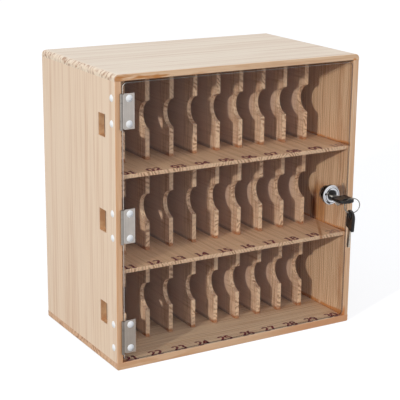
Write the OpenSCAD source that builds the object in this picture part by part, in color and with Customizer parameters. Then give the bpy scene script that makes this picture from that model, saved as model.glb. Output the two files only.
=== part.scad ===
// Thirty-place phone locker box: a pine cabinet with three rows of numbered places,
// a clear door on three small butt hinges, and a cam lock with two keys on a ring.
// X runs to the right, Y to the back and Z up. The origin is the centre of the base.

/* [Cabinet] */
// Width over the outer faces of the side panels
box_w = 340; // [335:1:380]
// Depth from the front edges to the back face
box_d = 205; // [160:1:260]
// Height from the base to the top
box_h = 356; // [340:1:420]
// Thickness of the top and side panels
panel_t = 8; // [7.5:0.5:9]
// Thickness of the bottom panel
bottom_t = 9; // [7.5:0.5:10]
// Thickness of the back panel, which sits in a rabbet
back_t = 4; // [3:0.5:5]
// Radius of the two long edges of the top panel
top_edge_r = 6; // [2:0.5:6.5]
// Radius of the two long edges of the bottom panel
bottom_edge_r = 2.5; // [2:0.5:6.5]

/* [Shelves and dividers] */
// Thickness of the two shelves
shelf_t = 5; // [4:0.5:6]
// Distance of the shelves' front edges behind the cabinet's front
shelf_setback = 5; // [4.5:0.5:10]
// Depth of the grooves that hold the shelves' ends
groove_depth = 2.5; // [1:0.5:3]
// Thickness of a divider
divider_t = 5.5; // [4:0.5:6]
// Distance from one divider to the next
divider_pitch = 32.95; // [30:0.05:33.2]
// Clear width of the leftmost place in each row
first_gap = 28.8; // [24:0.1:29]
// Distance of the dividers' front edges behind the cabinet's front
divider_setback = 59.5; // [50:0.5:70]
// Radius of the finger notch in a divider's front edge
notch_r = 17.5; // [10:0.5:20]
// Distance of the notch's centre in front of the divider's front edge
notch_offset = 1.9; // [0:0.1:4]
// Distance of the notch's centre below the middle of the row
notch_drop = 1; // [0:0.5:6]
// Radius of the rounded lips above and below the notch
lip_r = 2; // [1:0.5:5]

/* [Cable slots] */
// Width of a slot in the left side, from front to back
slot_w = 18; // [8:0.5:20]
// Height of a slot
slot_h = 27; // [15:0.5:40]
// Distance of a slot behind the cabinet's front
slot_setback = 25.5; // [22:0.5:40]

/* [Door] */
// Thickness of the clear door
door_t = 3; // [2.5:0.5:4]
// Gap between the left side panel and the door
door_gap_left = 2; // [2:0.1:3]
// Gap between the door and the right side panel
door_gap_right = 0.8; // [0.5:0.1:2]
// Gap above the door
door_gap_top = 2; // [1:0.1:3]
// Gap below the door
door_gap_bottom = 1.2; // [0.8:0.1:3]
// Radius of the door's corners
door_corner_r = 5.5; // [2:0.5:10]

/* [Hinges] */
// Height of a hinge
hinge_h = 41.5; // [36:0.5:50]
// Thickness of a hinge leaf
leaf_t = 1; // [0.8:0.1:1.2]
// Outer radius of a knuckle
knuckle_r = 1.8; // [1.7:0.05:1.9]
// Radius of a hinge pin
pin_r = 0.9; // [0.7:0.05:1]
// Distance between a leaf's two rivets
rivet_spacing = 29.5; // [24:0.5:34]
// Radius of a rivet's domed head
rivet_head_r = 4.3; // [3:0.1:4.5]

/* [Lock] */
// Distance from the lock's axis to the right side panel's inner face
lock_reach = 28.4; // [26.6:0.2:28.6]
// Radius of the threaded lock body
lock_body_r = 9.5; // [9:0.1:9.7]
// Radius of the lock's flange
lock_flange_r = 12.9; // [11.6:0.1:13]
// Length of the lock body behind the door's front face
lock_body_length = 10.5; // [9.5:0.5:10.5]
// Distance from the lock's axis to the cam's tip
cam_reach = 31.5; // [30:0.5:31.5]

/* [Keys] */
// Width of a key's head
key_head_w = 22; // [18:0.5:24]
// Length of a key's head
key_head_l = 24.5; // [20:0.5:28]
// Thickness of a key's head
key_head_t = 3.8; // [3:0.1:3.8]
// Length of the blade in front of the head
key_blade_l = 25.1; // [24:0.1:25.1]
// Radius of the circle through the middle of the ring's wire
ring_r = 10; // [9.8:0.05:10.2]
// Radius of the ring's wire
ring_wire_r = 0.6; // [0.4:0.05:0.6]

/* [Hidden] */
$fn = 64;

rows = 3;
dividers_per_row = 9;
row_names = ["lower", "middle", "upper"];
divider_nodes = [
    for (r = [0 : rows - 1]) for (i = [1 : dividers_per_row]) str("divider_", row_names[r], "_", i)
];
CABINET_NODES = [
    "top_panel", "bottom_panel", "left_panel", "right_panel", "back_panel", "lower_shelf", "upper_shelf"
];
HINGE_NODES = [
    "lower_side_leaf", "middle_side_leaf", "upper_side_leaf",
    "lower_door_leaf", "middle_door_leaf", "upper_door_leaf", "hinge_pins"
];
RIVET_NODES = ["side_rivets", "side_rivet_caps", "door_rivets", "door_rivet_caps", "back_brads"];
LOCK_NODES = ["door_panel", "lock_body", "lock_gasket", "lock_nut", "plug", "plug_cover", "cam", "cam_screw"];
KEY_NODES = ["key_blade", "key_head", "key_ring", "spare_key_blade", "spare_key_head"];

// A small overlap that makes cuts run clean through
cut = 1;

// Planes of the cabinet
left_x = -box_w / 2;
right_x = box_w / 2;
front_y = -box_d / 2;
back_y = box_d / 2;
inner_left = left_x + panel_t;
inner_right = right_x - panel_t;
inner_top = box_h - panel_t;
edge_cut = 0.7;

// Rows of places
row_h = (inner_top - bottom_t - (rows - 1) * shelf_t) / rows;
function row_floor(r) = bottom_t + r * (row_h + shelf_t);
function row_middle(r) = row_floor(r) + row_h / 2;
function divider_x(i) = inner_left + first_gap + i * divider_pitch;

// Rabbet for the back panel
rabbet_w = 4;
divider_back = back_y - back_t;

// Hinges: the pins stand just in front of the left panel's front edge
pin_gap = 0.3;
pin_inset = 1;
pin_x = inner_left - pin_inset;
pin_y = front_y - pin_gap - knuckle_r;
lower_hinge_z = 41.5;
middle_hinge_drop = 0.5;
upper_hinge_drop = 42.5;
inside_middle = (bottom_t + inner_top) / 2;
hinge_z = [lower_hinge_z, inside_middle - middle_hinge_drop, box_h - upper_hinge_drop];
door_leaf_w = 17.2;
door_leaf_start = 2.4;
side_leaf_depth = 17;
leaf_start = 0.3;
knuckle_gap = 0.3;
knuckle_quarter = hinge_h / 4;
pin_fit = 0.05;
pin_end = 0.3;
pin_length = hinge_h + 2 * pin_end;
leaf_corner = 2;

// Rivets
rivet_head_h = 1.6;
rivet_cap_r = 3.9;
rivet_cap_h = 1.6;
rivet_shank_r = 2.1;
rivet_hole_r = 2.2;
rivet_peg_r = 1.15;
rivet_bore_r = 1.2;
side_rivet_setback = 8.8;
door_rivet_offset = 10.6;

// Brads along the back panel's edges
brad_head_r = 1.2;
brad_shank_r = 0.6;
brad_head_h = 0.4;
brad_length = 16;
brad_inset = 2;
brads_across = 4;
brads_up = 4;

// Door
door_left = inner_left + door_gap_left;
door_right = inner_right - door_gap_right;
door_bottom = bottom_t + door_gap_bottom;
door_top = inner_top - door_gap_top;

// Lock, measured from the door's front face, which is level with the cabinet's front
lock_x = inner_right - lock_reach;
lock_z = inside_middle;
gasket_t = 0.8;
gasket_r = 11.6;
lock_hole_fit = 0.1;
flange_front = 4.5;
flange_rim = 2.6;
flange_step = 4;
flange_bevel = 1.4;
flange_step_r = lock_flange_r - flange_bevel;
flange_face_r = 9.8;
counterbore_r = 7.25;
counterbore_depth = 1.6;
plug_r = 6.35;
plug_bore_r = 6.4;
plug_head_r = 7.2;
plug_head_front = 3.9;
plug_head_back = 2.95;
cover_r = 6.3;
cover_t = 0.5;
plug_stand = 0.3;
plug_end = lock_body_length + plug_stand;
keyway_w = 8.4;
keyway_h = 2.4;
keyway_end = 9.4;
cam_square = 7;
cam_square_hole = 7.1;
cam_gap = 0.1;
cam_front = plug_end + cam_gap;
cam_t = 1.8;
cam_w = 8;
cam_tip_r = cam_w / 2;
cam_boss_r = 7.5;
cam_square_end = cam_front + cam_t;
// Open, the cam points to the right and down, so far that its tip clears the side panel
cam_clearance = 2.4;
cam_open = acos((lock_reach - cam_clearance - cam_tip_r) / (cam_reach - cam_tip_r));
cam_turn = 45;
screw_head_r = 4.2;
screw_head_h = 2;
screw_shank_r = 2;
screw_depth = 2.9;
screw_hole_start = cam_square_end - screw_depth;
screw_slot_w = 1;
screw_slot_depth = 0.9;
nut_across_flats = 21;
nut_front = door_t;
nut_t = 3.6;

// Mortise in the right panel that the cam turns into
mortise_front = 9.3;
mortise_w = 5;
mortise_play = 0.8;
mortise_room = 2.4;
mortise_depth = cam_reach - lock_reach + mortise_room;
mortise_below = sqrt(pow(cam_reach - cam_tip_r, 2) - pow(lock_reach - cam_tip_r, 2)) + 2 * mortise_play;
mortise_above = (cam_reach - cam_tip_r) * sin(cam_turn - cam_open) + cam_tip_r + mortise_play;

// Keys
head_back = 16;
blade_w = 8;
blade_t = 2;
blade_tang = 8;
blade_tip_w = 4;
blade_tip_l = 2;
bit_depths = [1.1, 0.5, 1.4, 0.8, 1.2, 0.6];
bit_pitch = 2.8;
bit_start = 7;
bit_flat = 0.7;
head_front_r = 8;
head_back_r = 2;
head_hole_r = 4;
head_hole_spread = 0.6;
head_hole_inset = 5.3;
head_panel_rim = 1.5;
head_panel_depth = 0.4;

// The ring leans back by a few degrees and the spare key hangs from its lowest point
ring_yaw = -17.6;
ring_lean = 7.1;
ring_drop = 6.77;
ring_shift = 0.1;
spare_lean = 8.5;
spare_drop = 2.9;
hole_y = front_y - head_back - key_head_l + head_hole_inset;
ring_above = ring_drop / cos(ring_lean);
ring_along = ring_shift + sqrt(ring_r * ring_r - ring_above * ring_above);

// Colours
pine = [0.85, 0.70, 0.53];
birch = [0.79, 0.63, 0.47];
clear = [0.85, 0.90, 0.92, 0.35];
steel = [0.68, 0.66, 0.63];
nylon = [0.94, 0.94, 0.92];
chrome = [0.80, 0.80, 0.80];
dark_zinc = [0.22, 0.20, 0.19];
black = [0.06, 0.06, 0.06];

// A block given by its low and high corners
module block(low, high) {
    translate(low) cube(high - low);
}

// Cuts a small flat along a sharp edge that runs along X at the given Y and Z
module ease_x(y, z) {
    translate([0, y, z]) rotate([45, 0, 0]) cube([2 * box_w, edge_cut, edge_cut], center = true);
}

// Cuts a small flat along a sharp edge that runs along Z at the given X and Y
module ease_z(x, y) {
    translate([x, y, box_h / 2]) rotate([0, 0, 45]) cube([edge_cut, edge_cut, 2 * box_h], center = true);
}

// A rectangle whose two far corners, at high Y, are rounded
module round_top_rect(w, h, r) {
    translate([-w / 2, 0]) square([w, h - r]);
    translate([-w / 2 + r, 0]) square([w - 2 * r, h]);
    intersection() {
        for (side = [-1, 1]) translate([side * (w / 2 - r), h - r]) circle(r = r);
        translate([-w / 2, 0]) square([w, h]);
    }
}

// A rectangle from the origin with all corners rounded
module round_rect(w, h, r) {
    translate([r, 0]) square([w - 2 * r, h]);
    translate([0, r]) square([w, h - 2 * r]);
    for (x = [r, w - r]) for (y = [r, h - r]) translate([x, y]) circle(r = r);
}

// A domed disc on the XY plane
module dome(r, h) {
    ball_r = (r * r + h * h) / (2 * h);
    intersection() {
        translate([0, 0, h - ball_r]) sphere(r = ball_r);
        cylinder(r = r, h = h);
    }
}

// Carries its children to the lock's axis: their Z becomes the distance in front of the door
module at_lock() {
    translate([lock_x, front_y, lock_z]) rotate([90, 0, 0]) children();
}

// A round bar on the lock's axis between two distances behind the door's front face
module lock_bar(r, from, to) {
    at_lock() translate([0, 0, -to]) cylinder(r = r, h = to - from);
}

module top_panel() {
    color(pine) difference() {
        translate([0, back_y, inner_top]) rotate([90, 0, 0])
            linear_extrude(box_d) round_top_rect(box_w, panel_t, top_edge_r);
        back_rabbet();
        brad_holes();
        for (z = [inner_top, box_h]) ease_x(front_y, z);
        ease_x(back_y, box_h);
    }
}

module bottom_panel() {
    color(pine) difference() {
        translate([0, back_y, bottom_t]) rotate([90, 0, 0]) mirror([0, 1, 0])
            linear_extrude(box_d) round_top_rect(box_w, bottom_t, bottom_edge_r);
        back_rabbet();
        brad_holes();
        for (z = [0, bottom_t]) ease_x(front_y, z);
        ease_x(back_y, 0);
    }
}

// The space that the back panel takes out of the four panels round it
module back_rabbet() {
    block(
        [inner_left - rabbet_w, divider_back, bottom_t - rabbet_w],
        [inner_right + rabbet_w, back_y + cut, inner_top + rabbet_w]
    );
}

// The grooves that hold the shelves' ends
module shelf_grooves() {
    for (r = [1 : rows - 1]) block(
        [inner_left - groove_depth, front_y + shelf_setback, row_floor(r) - shelf_t],
        [inner_right + groove_depth, divider_back, row_floor(r)]
    );
}

module left_panel() {
    color(pine) difference() {
        block([left_x, front_y, bottom_t], [inner_left, back_y, inner_top]);
        back_rabbet();
        brad_holes();
        shelf_grooves();
        for (r = [0 : rows - 1]) block(
            [left_x - cut, front_y + slot_setback, row_middle(r) - slot_h / 2],
            [inner_left + cut, front_y + slot_setback + slot_w, row_middle(r) + slot_h / 2]
        );
        at_side_rivets() translate([0, 0, -cut]) cylinder(r = rivet_hole_r, h = panel_t + 2 * cut);
        for (x = [left_x, inner_left]) ease_z(x, front_y);
        ease_z(left_x, back_y);
    }
}

module right_panel() {
    color(pine) difference() {
        block([inner_right, front_y, bottom_t], [right_x, back_y, inner_top]);
        back_rabbet();
        brad_holes();
        shelf_grooves();
        block(
            [inner_right - cut, front_y + mortise_front, lock_z - mortise_below],
            [inner_right + mortise_depth, front_y + mortise_front + mortise_w, lock_z + mortise_above]
        );
        for (x = [inner_right, right_x]) ease_z(x, front_y);
        ease_z(right_x, back_y);
    }
}

module back_panel() {
    color(birch) difference() {
        block(
            [inner_left - rabbet_w, divider_back, bottom_t - rabbet_w],
            [inner_right + rabbet_w, back_y, inner_top + rabbet_w]
        );
        brad_holes();
        at_brads() translate([0, 0, -cut]) cylinder(r = brad_head_r, h = brad_head_h + cut);
    }
}

// Each brad stands at the back panel's edge and is driven forwards into the panel behind it
module at_brads() {
    low_x = inner_left - brad_inset;
    high_x = inner_right + brad_inset;
    low_z = bottom_t - brad_inset;
    high_z = inner_top + brad_inset;
    for (i = [1 : brads_across]) for (z = [low_z, high_z])
        translate([low_x + (high_x - low_x) * (i - 0.5) / brads_across, back_y, z])
            rotate([90, 0, 0]) children();
    for (i = [1 : brads_up]) for (x = [low_x, high_x])
        translate([x, back_y, low_z + (high_z - low_z) * (i - 0.5) / brads_up]) rotate([90, 0, 0]) children();
}

module brad_holes() {
    at_brads() translate([0, 0, -cut]) cylinder(r = brad_shank_r, h = brad_length + cut);
}

module back_brads() {
    color(steel) at_brads() {
        cylinder(r = brad_head_r, h = brad_head_h);
        cylinder(r = brad_shank_r, h = brad_length);
    }
}

module shelf(r) {
    color(birch) difference() {
        block(
            [inner_left - groove_depth, front_y + shelf_setback, row_floor(r) - shelf_t],
            [inner_right + groove_depth, divider_back, row_floor(r)]
        );
        for (z = [row_floor(r) - shelf_t, row_floor(r)]) ease_x(front_y + shelf_setback, z);
    }
}

// Side view of a divider: X is the depth behind its front edge and Y the height above its floor
module divider_outline() {
    depth = divider_back - front_y - divider_setback;
    mid = row_h / 2 - notch_drop;
    lip_in = lip_r + notch_offset;
    lip_out = sqrt(pow(notch_r + lip_r, 2) - pow(lip_in, 2));
    lip_end = lip_in * notch_r / (notch_r + lip_r) - notch_offset;
    difference() {
        square([depth, row_h]);
        translate([-notch_offset, mid]) circle(r = notch_r);
        difference() {
            translate([-cut, mid - lip_out]) square([lip_end + cut, 2 * lip_out]);
            for (side = [-1, 1]) translate([lip_r, mid + side * lip_out]) circle(r = lip_r);
        }
    }
}

module divider(r, i) {
    color(birch) translate([divider_x(i), front_y + divider_setback, row_floor(r)])
        rotate([90, 0, 90]) linear_extrude(divider_t) divider_outline();
}

// Carries its children to each rivet in the left panel: their Z runs through the panel to the right
module at_side_rivets() {
    for (z = hinge_z) for (side = [-1, 1])
        translate([left_x, front_y + side_rivet_setback, z + side * rivet_spacing / 2])
            rotate([0, 90, 0]) children();
}

// Carries its children to each rivet in the door: their Z runs through the door to the back
module at_door_rivets() {
    for (z = hinge_z) for (side = [-1, 1])
        translate([pin_x + door_rivet_offset, front_y - leaf_t, z + side * rivet_spacing / 2])
            rotate([-90, 0, 0]) children();
}

// A domed head with a hollow shank of the given grip length
module rivet(grip) {
    mirror([0, 0, 1]) dome(rivet_head_r, rivet_head_h);
    difference() {
        cylinder(r = rivet_shank_r, h = grip);
        cylinder(r = rivet_bore_r, h = grip + cut);
    }
}

// The rivet's other half: a flat dome with a peg that fills the shank
module rivet_cap(grip) {
    translate([0, 0, grip]) dome(rivet_cap_r, rivet_cap_h);
    cylinder(r = rivet_peg_r, h = grip + cut / 2);
}

module side_rivets() {
    color(nylon) at_side_rivets() rivet(panel_t + leaf_t);
}

module side_rivet_caps() {
    color(nylon) at_side_rivets() rivet_cap(panel_t + leaf_t);
}

module door_rivets() {
    color(nylon) at_door_rivets() rivet(leaf_t + door_t);
}

module door_rivet_caps() {
    color(nylon) at_door_rivets() rivet_cap(leaf_t + door_t);
}

// A length of knuckle on the hinge's pin, with its bore
module knuckle(low, high, bore_r) {
    difference() {
        translate([pin_x, pin_y, low]) cylinder(r = knuckle_r, h = high - low);
        translate([pin_x, pin_y, low - cut]) cylinder(r = bore_r, h = high - low + 2 * cut);
    }
}

// The outer quarters of the hinge belong to the leaf on the side panel
module side_leaf(z) {
    plate_x = inner_left;
    color(steel) {
        difference() {
            union() {
                block(
                    [plate_x, front_y + leaf_start, z - hinge_h / 2],
                    [plate_x + leaf_t, front_y + side_leaf_depth, z + hinge_h / 2]
                );
                for (side = [-1, 1]) side_neck(z + side * (hinge_h / 2 - knuckle_quarter / 2));
            }
            for (side = [-1, 1])
                translate([plate_x - cut, front_y + side_rivet_setback, z + side * rivet_spacing / 2])
                    rotate([0, 90, 0]) cylinder(r = rivet_hole_r, h = leaf_t + 2 * cut);
        }
        for (side = [-1, 1]) knuckle(
            z + side * (hinge_h / 2 - knuckle_quarter / 2) - knuckle_quarter / 2,
            z + side * (hinge_h / 2 - knuckle_quarter / 2) + knuckle_quarter / 2,
            pin_r
        );
    }
}

// The strip that joins an outer knuckle to the side leaf's plate
module side_neck(z) {
    difference() {
        block(
            [inner_left, pin_y, z - knuckle_quarter / 2],
            [pin_x + knuckle_r, front_y + leaf_start + cut, z + knuckle_quarter / 2]
        );
        translate([pin_x, pin_y, z]) cylinder(r = pin_r, h = 2 * knuckle_quarter, center = true);
    }
}

// The middle half of the hinge belongs to the leaf on the door
module door_leaf(z) {
    half = knuckle_quarter - knuckle_gap;
    color(steel) {
        difference() {
            union() {
                translate([pin_x, front_y, z]) rotate([90, 0, 0]) linear_extrude(leaf_t)
                    door_leaf_outline();
                block(
                    [pin_x, front_y - leaf_t, z - half],
                    [pin_x + door_leaf_start + cut, front_y - pin_gap, z + half]
                );
            }
            for (side = [-1, 1])
                translate([pin_x + door_rivet_offset, front_y - leaf_t - cut, z + side * rivet_spacing / 2])
                    rotate([-90, 0, 0]) cylinder(r = rivet_hole_r, h = leaf_t + 2 * cut);
            translate([pin_x, pin_y, z]) cylinder(r = pin_r + pin_fit, h = hinge_h, center = true);
        }
        knuckle(z - half, z + half, pin_r + pin_fit);
    }
}

// The door leaf's plate, seen from the front, with its two corners by the pin cut off
module door_leaf_outline() {
    h = hinge_h / 2;
    near = door_leaf_start;
    polygon([
        [near, -h + leaf_corner], [near + leaf_corner, -h], [door_leaf_w, -h],
        [door_leaf_w, h], [near + leaf_corner, h], [near, h - leaf_corner]
    ]);
}

module hinge_pins() {
    color(steel) for (z = hinge_z)
        translate([pin_x, pin_y, z]) cylinder(r = pin_r, h = pin_length, center = true);
}

module door_panel() {
    color(clear) difference() {
        translate([door_left, front_y + door_t, door_bottom]) rotate([90, 0, 0])
            linear_extrude(door_t) round_rect(door_right - door_left, door_top - door_bottom, door_corner_r);
        at_door_rivets() translate([0, 0, -cut]) cylinder(r = rivet_hole_r, h = leaf_t + door_t + 2 * cut);
        lock_bar(lock_body_r + lock_hole_fit, -cut, door_t + cut);
    }
}

module lock_gasket() {
    color(black) at_lock() difference() {
        cylinder(r = gasket_r, h = gasket_t);
        translate([0, 0, -cut]) cylinder(r = lock_body_r, h = gasket_t + 2 * cut);
    }
}

module lock_body() {
    color(chrome) difference() {
        union() {
            at_lock() rotate_extrude() flange_profile();
            lock_bar(lock_body_r, -gasket_t, lock_body_length);
        }
        lock_bar(plug_bore_r, -flange_front - cut, lock_body_length + cut);
        lock_bar(counterbore_r, -flange_front - cut, counterbore_depth - flange_front);
    }
}

// Half section of the flange: X is the radius and Y the distance in front of the door
module flange_profile() {
    polygon([
        [0, gasket_t], [lock_flange_r, gasket_t], [lock_flange_r, flange_rim],
        [flange_step_r, flange_step], [flange_face_r, flange_front], [0, flange_front]
    ]);
}

module lock_nut() {
    color(dark_zinc) at_lock() translate([0, 0, -nut_front - nut_t]) difference() {
        cylinder(r = nut_across_flats / 2 / cos(30), h = nut_t, $fn = 6);
        translate([0, 0, -cut]) cylinder(r = lock_body_r, h = nut_t + 2 * cut);
    }
}

// The slot that takes the key's blade
module keyway(from, to) {
    block(
        [lock_x - keyway_w / 2, front_y + from, lock_z - keyway_h / 2],
        [lock_x + keyway_w / 2, front_y + to, lock_z + keyway_h / 2]
    );
}

module plug() {
    color(chrome) difference() {
        union() {
            lock_bar(plug_head_r, -plug_head_front, -plug_head_back);
            lock_bar(plug_r, -plug_head_back, plug_end);
            block(
                [lock_x - cam_square / 2, front_y + plug_end, lock_z - cam_square / 2],
                [lock_x + cam_square / 2, front_y + cam_square_end, lock_z + cam_square / 2]
            );
        }
        keyway(-plug_head_front - cut, keyway_end);
        lock_bar(screw_shank_r, screw_hole_start, cam_square_end + cut);
    }
}

// The black disc that closes the plug's face round the keyway
module plug_cover() {
    color(black) difference() {
        lock_bar(cover_r, -plug_head_front - cover_t, -plug_head_front);
        keyway(-plug_head_front - cover_t - cut, -plug_head_front + cut);
    }
}

// The cam's arm is turned to its open place, and its square hole stays level with the plug's square
module cam() {
    color(steel) at_lock() translate([0, 0, -cam_front - cam_t]) difference() {
        union() {
            cylinder(r = cam_boss_r, h = cam_t);
            rotate(-cam_open) {
                translate([0, -cam_tip_r, 0]) cube([cam_reach - cam_tip_r, cam_w, cam_t]);
                translate([cam_reach - cam_tip_r, 0, 0]) cylinder(r = cam_tip_r, h = cam_t);
            }
        }
        translate([-cam_square_hole / 2, -cam_square_hole / 2, -cut])
            cube([cam_square_hole, cam_square_hole, cam_t + 2 * cut]);
    }
}

module cam_screw() {
    head_end = cam_square_end + screw_head_h;
    color(steel) difference() {
        union() {
            lock_bar(screw_shank_r, screw_hole_start, cam_square_end);
            lock_bar(screw_head_r, cam_square_end, head_end);
        }
        block(
            [lock_x - screw_head_r - cut, front_y + head_end - screw_slot_depth, lock_z - screw_slot_w / 2],
            [lock_x + screw_head_r + cut, front_y + head_end + cut, lock_z + screw_slot_w / 2]
        );
    }
}

// A key lies flat with its blade along +Y, its head towards -Y and the head's blade end at Y 0
module key_blade_shape() {
    w = blade_w / 2;
    tip = blade_tip_w / 2;
    translate([0, 0, -blade_t / 2]) linear_extrude(blade_t) difference() {
        polygon([
            [-w, -blade_tang], [w, -blade_tang], [w, key_blade_l - blade_tip_l],
            [tip, key_blade_l], [-tip, key_blade_l], [-w, key_blade_l - blade_tip_l]
        ]);
        for (side = [-1, 1]) for (i = [0 : len(bit_depths) - 1])
            translate([side * w, bit_start + i * bit_pitch]) key_cut(side * bit_depths[i]);
    }
}

// One V cut with a flat bottom in the blade's edge
module key_cut(depth) {
    slope = bit_pitch / 2 - bit_flat / 2;
    half = bit_flat / 2;
    polygon([[0, -slope - half], [-depth, -half], [-depth, half], [0, slope + half]]);
}

module key_head_shape() {
    difference() {
        translate([0, 0, -key_head_t / 2]) linear_extrude(key_head_t) head_outline(0);
        for (side = [-1, 1]) translate([0, 0, side * key_head_t / 2])
            linear_extrude(2 * head_panel_depth, center = true)
            difference() {
                head_outline(head_panel_rim);
                head_hole(head_hole_r + head_panel_rim);
            }
        linear_extrude(2 * key_head_t, center = true) head_hole(head_hole_r);
        translate([-blade_w / 2, -blade_tang, -blade_t / 2]) cube([blade_w, blade_tang + cut, blade_t]);
    }
}

// The hole for the ring is a little wider than it is tall
module head_hole(r) {
    translate([0, head_hole_inset - key_head_l]) {
        square([2 * head_hole_spread, 2 * r], center = true);
        for (side = [-1, 1]) translate([side * head_hole_spread, 0]) circle(r = r);
    }
}

// The head's outline, drawn in by the given amount all round
module head_outline(inset) {
    w = key_head_w - 2 * inset;
    front_r = head_front_r - inset;
    back_r = head_back_r - inset / 2;
    low = -key_head_l + inset;
    high = -inset;
    translate([-w / 2, low + front_r]) square([w, high - low - front_r - back_r]);
    translate([-w / 2 + front_r, low]) square([w - 2 * front_r, high - low]);
    translate([-w / 2 + back_r, high - back_r]) square([w - 2 * back_r, back_r]);
    for (side = [-1, 1]) {
        translate([side * (w / 2 - front_r), low + front_r]) circle(r = front_r);
        translate([side * (w / 2 - back_r), high - back_r]) circle(r = back_r);
    }
}

// The key in the lock lies level, with its head in front of the door
module at_key() {
    translate([lock_x, front_y - head_back, lock_z]) children();
}

// Carries its children to the ring: X runs along the ring's level diameter and Z up its plane
module at_ring() {
    translate([lock_x, hole_y, lock_z]) rotate([ring_lean, 0, ring_yaw])
        translate([ring_along, 0, -ring_above]) children();
}

// The spare key hangs from the bottom of the ring, square to it, with its blade down
module at_spare_key() {
    at_ring() translate([0, 0, -ring_r]) rotate([spare_lean - ring_lean, 0, 0])
        translate([0, 0, -spare_drop]) rotate([-90, 0, 0]) rotate([0, 90, 0])
            translate([0, key_head_l - head_hole_inset, 0]) children();
}

module key_blade() {
    color(chrome) at_key() key_blade_shape();
}

module key_head() {
    color(black) at_key() key_head_shape();
}

module key_ring() {
    color(steel) at_ring() rotate([90, 0, 0]) rotate_extrude() translate([ring_r, 0]) circle(r = ring_wire_r);
}

module spare_key_blade() {
    color(chrome) at_spare_key() key_blade_shape();
}

module spare_key_head() {
    color(black) at_spare_key() key_head_shape();
}

top_panel();
bottom_panel();
left_panel();
right_panel();
back_panel();
shelf(1);  // lower_shelf
shelf(2);  // upper_shelf
for (r = [0 : rows - 1]) for (i = [0 : dividers_per_row - 1])
    divider(r, i);
side_leaf(hinge_z[0]);  // lower_side_leaf
side_leaf(hinge_z[1]);  // middle_side_leaf
side_leaf(hinge_z[2]);  // upper_side_leaf
door_leaf(hinge_z[0]);  // lower_door_leaf
door_leaf(hinge_z[1]);  // middle_door_leaf
door_leaf(hinge_z[2]);  // upper_door_leaf
hinge_pins();
side_rivets();
side_rivet_caps();
door_rivets();
door_rivet_caps();
back_brads();
door_panel();
lock_body();
lock_gasket();
lock_nut();
plug();
plug_cover();
cam();
cam_screw();
key_blade();
key_head();
key_ring();
spare_key_blade();
spare_key_head();
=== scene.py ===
"""Dresses the phone locker box: wood finishes, a clear door, brushed hinges, a chrome cam lock
with two keys, and burnt place numbers."""

import math

import bpy
import numpy as np
from bpy.props import FloatProperty, FloatVectorProperty, PointerProperty
from bpy.types import Operator, Panel, PropertyGroup
from mathutils import Matrix, Vector


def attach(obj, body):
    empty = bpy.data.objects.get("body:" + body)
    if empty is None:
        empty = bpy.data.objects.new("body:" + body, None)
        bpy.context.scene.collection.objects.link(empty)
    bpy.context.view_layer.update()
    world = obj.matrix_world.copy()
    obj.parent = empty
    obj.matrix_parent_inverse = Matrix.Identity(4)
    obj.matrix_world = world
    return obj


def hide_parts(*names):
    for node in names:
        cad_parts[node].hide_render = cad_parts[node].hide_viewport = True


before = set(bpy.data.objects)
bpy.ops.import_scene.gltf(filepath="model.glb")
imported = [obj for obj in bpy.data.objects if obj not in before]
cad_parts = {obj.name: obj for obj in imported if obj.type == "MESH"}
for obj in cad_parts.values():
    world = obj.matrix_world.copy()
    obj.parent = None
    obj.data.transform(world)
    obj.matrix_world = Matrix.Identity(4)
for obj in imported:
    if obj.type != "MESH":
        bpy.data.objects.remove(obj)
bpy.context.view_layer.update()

bl_info = {
    "name": "Phone Locker Box",
    "version": (1, 0, 0),
    "blender": (4, 5, 0),
    "location": "3D View > Sidebar > Locker",
    "description": "Gives the thirty-place phone locker box its finishes, numbers, keys and stage",
    "category": "Object",
}

# Sizes of the cabinet in millimetres, as in the part's source
MM = 0.001
FRONT_Y = -102.5
INNER_X = 162.0
FLOOR_Z = 9.0
CEILING_Z = 348.0
# Wood before this lies on a front edge, and wood below LOW_FOOT_Z is at the foot of the lowest row
EDGE_Y = FRONT_Y + 0.3
LOW_FOOT_Z = FLOOR_Z + 20.0
# A cell of this size takes in the whole object
WHOLE = 4000.0
SHELF_T = 5.0
ROW_STEP = (CEILING_Z - FLOOR_Z + SHELF_T) / 3
FIRST_DIVIDER_X = -133.2
DIVIDER_PITCH = 32.95
DIVIDER_T = 5.5
DIVIDER_FRONT_Y = -43.0
SHELF_FRONT_Y = -97.5
SLOT_Y = (-77.0, -59.0)
SLOT_H = 27.0
PLACES = 10

ROW_NAMES = ("lower", "middle", "upper")
PANELS_UP = ("left_panel", "right_panel")
PANELS_FLAT = ("top_panel", "bottom_panel")
SHELVES = ("lower_shelf", "upper_shelf")
DIVIDERS = tuple(f"divider_{row}_{i}" for row in ROW_NAMES for i in range(1, 10))
LEAVES = tuple(f"{z}_{side}_leaf" for z in ROW_NAMES for side in ("side", "door"))

# The hinges, the lock, the keys and the ring, in millimetres and degrees, as in the part's source
PIN_X, LEAF_X = -163.0, -145.8
LOCK_X, LOCK_Z = 133.6, 178.5
HEAD_BACK_Y = FRONT_Y - 16.0
HEAD_W, HEAD_L, HEAD_T = 22.0, 24.5, 3.8
HEAD_OUTER_R, HEAD_BLADE_R = 8.0, 2.0
HOLE_R, HOLE_SPREAD, HOLE_INSET = 4.0, 0.6, 5.3
RIM, PANEL_DEPTH = 1.5, 0.4
RING_R, RING_YAW, RING_LEAN = 10.0, -17.6, 7.1
RING_DROP, RING_SHIFT = 6.77, 0.1
SPARE_LEAN, SPARE_DROP = 8.5, 2.9
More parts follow.
